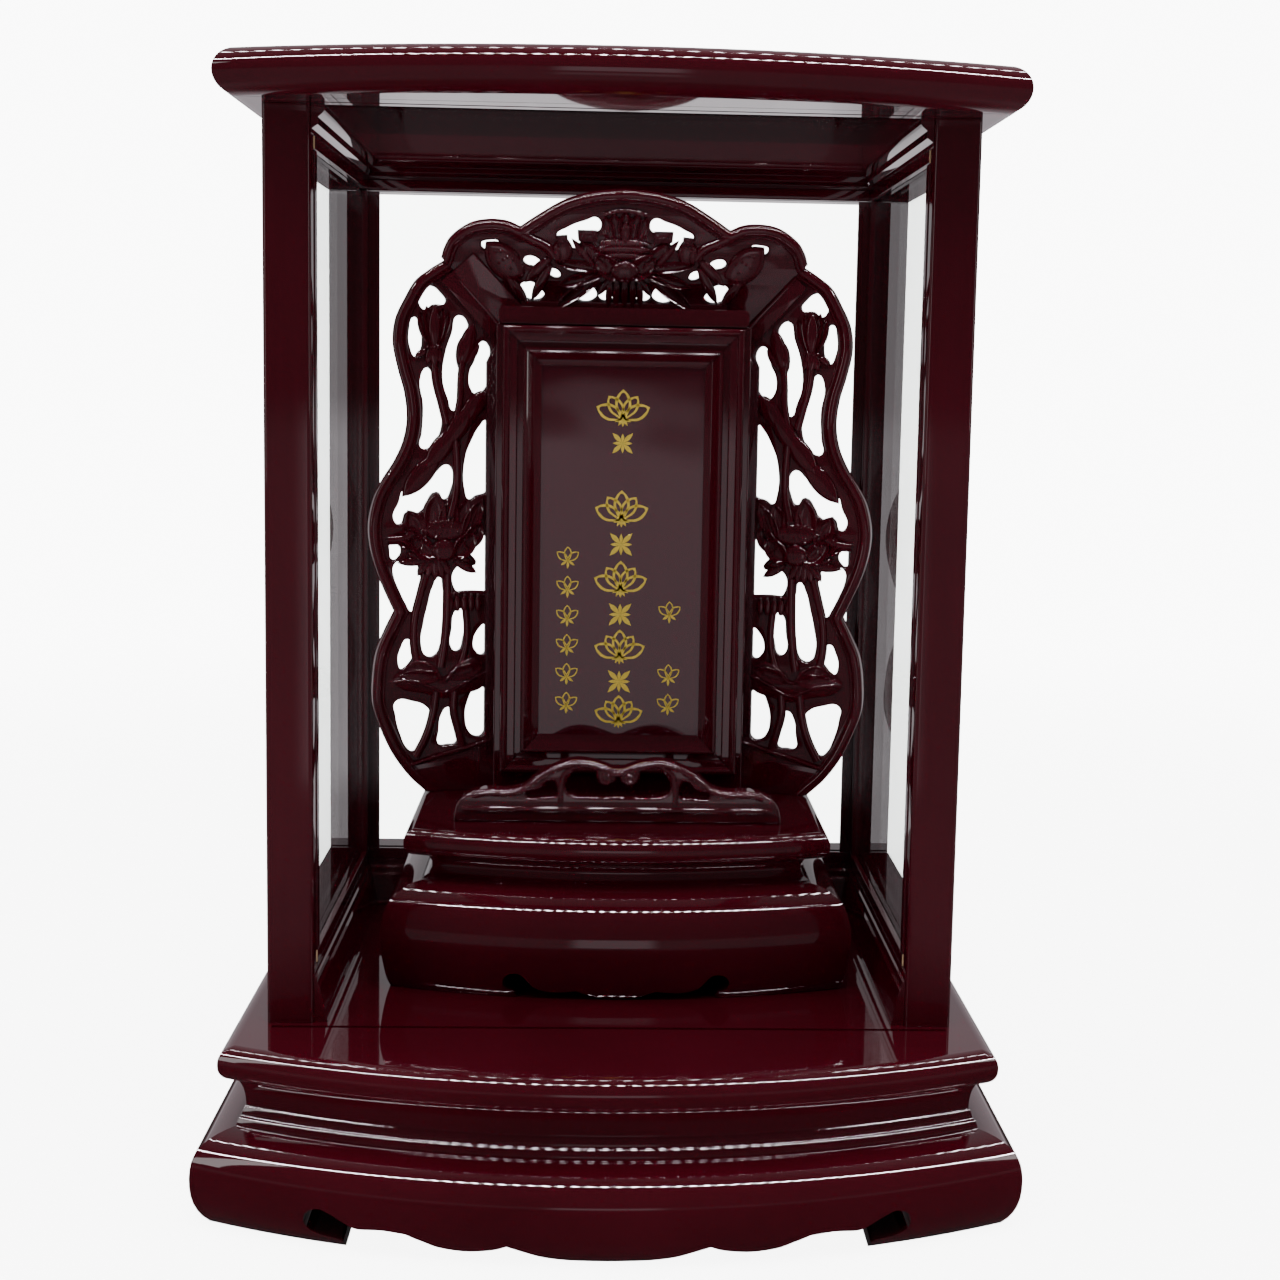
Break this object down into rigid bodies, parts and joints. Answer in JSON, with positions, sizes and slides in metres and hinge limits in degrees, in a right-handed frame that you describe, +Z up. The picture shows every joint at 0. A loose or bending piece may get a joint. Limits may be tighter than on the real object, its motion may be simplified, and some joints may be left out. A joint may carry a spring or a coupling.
{
  "type": "chinese ancestor shrine",
  "caption": "Glazed wooden shrine case with an open front on a moulded, bow-fronted base, holding a loose ancestral tablet framed by pierced lotus carving.",
  "frame": {"origin": "middle of the footprint, on the surface that the feet stand on", "axes": "+Z up, the open bowed front faces -Y, +X to the right as seen from the front"},
  "size_m": [0.426, 0.3504, 0.5885],
  "materials": {
    "lacquer": "deep oxblood lacquer, high gloss",
    "carved_lacquer": "dark oxblood lacquer over carving, high gloss",
    "panel_lacquer": "oxblood lacquer, mirror gloss",
    "raw_wood": "bare, sawn",
    "clear_glass": "clear, polished"
  },
  "bodies": {
    "case": {"base_board": "lacquer", "waist_front": "lacquer", "waist_left": "lacquer", "waist_right": "lacquer", "apron_front": "lacquer", "apron_left": "lacquer", "apron_right": "lacquer", "base_back": "lacquer", "glue_block_front_left": "raw_wood", "glue_block_front_right": "raw_wood", "glue_block_rear_left": "raw_wood", "glue_block_rear_right": "raw_wood", "post_front_left": "lacquer", "post_front_right": "lacquer", "post_rear_left": "lacquer", "post_rear_right": "lacquer", "bottom_rail_left": "lacquer", "bottom_rail_right": "lacquer", "bottom_rail_back": "lacquer", "top_rail_left": "lacquer", "top_rail_right": "lacquer", "top_rail_back": "lacquer", "side_glass_left": "clear_glass", "side_glass_right": "clear_glass", "rear_glass": "clear_glass", "side_bead_bottom_left": "lacquer", "side_bead_bottom_right": "lacquer", "side_bead_top_left": "lacquer", "side_bead_top_right": "lacquer", "side_bead_front_left": "lacquer", "side_bead_front_right": "lacquer", "side_bead_rear_left": "lacquer", "side_bead_rear_right": "lacquer", "rear_bead_bottom": "lacquer", "rear_bead_top": "lacquer", "rear_bead_left": "lacquer", "rear_bead_right": "lacquer", "cornice_front": "lacquer", "cornice_rear": "lacquer", "cornice_left": "lacquer", "cornice_right": "lacquer", "ceiling_glass": "clear_glass"},
    "tablet": {"plinth_apron_front": "lacquer", "plinth_apron_left": "lacquer", "plinth_apron_right": "lacquer", "plinth_apron_back": "lacquer", "plinth_waist": "lacquer", "plinth_board": "lacquer", "scroll_fence": "lacquer", "tablet_case": "lacquer", "tablet_cap": "lacquer", "wing_left": "carved_lacquer", "wing_right": "carved_lacquer", "crest": "carved_lacquer"},
    "tablet_face": {"face_top": "lacquer", "face_bottom": "lacquer", "face_side_left": "lacquer", "face_side_right": "lacquer", "face_panel": "panel_lacquer"}
  },
  "joints": [
    {"name": "tablet_out", "type": "slide", "parent": "case", "child": "tablet", "axis": [0, -1, 0], "range_m": [0, 0.3]},
    {"name": "face_off", "type": "slide", "parent": "tablet", "child": "tablet_face", "axis": [0, -1, 0], "range_m": [0, 0.03]}
  ]
}
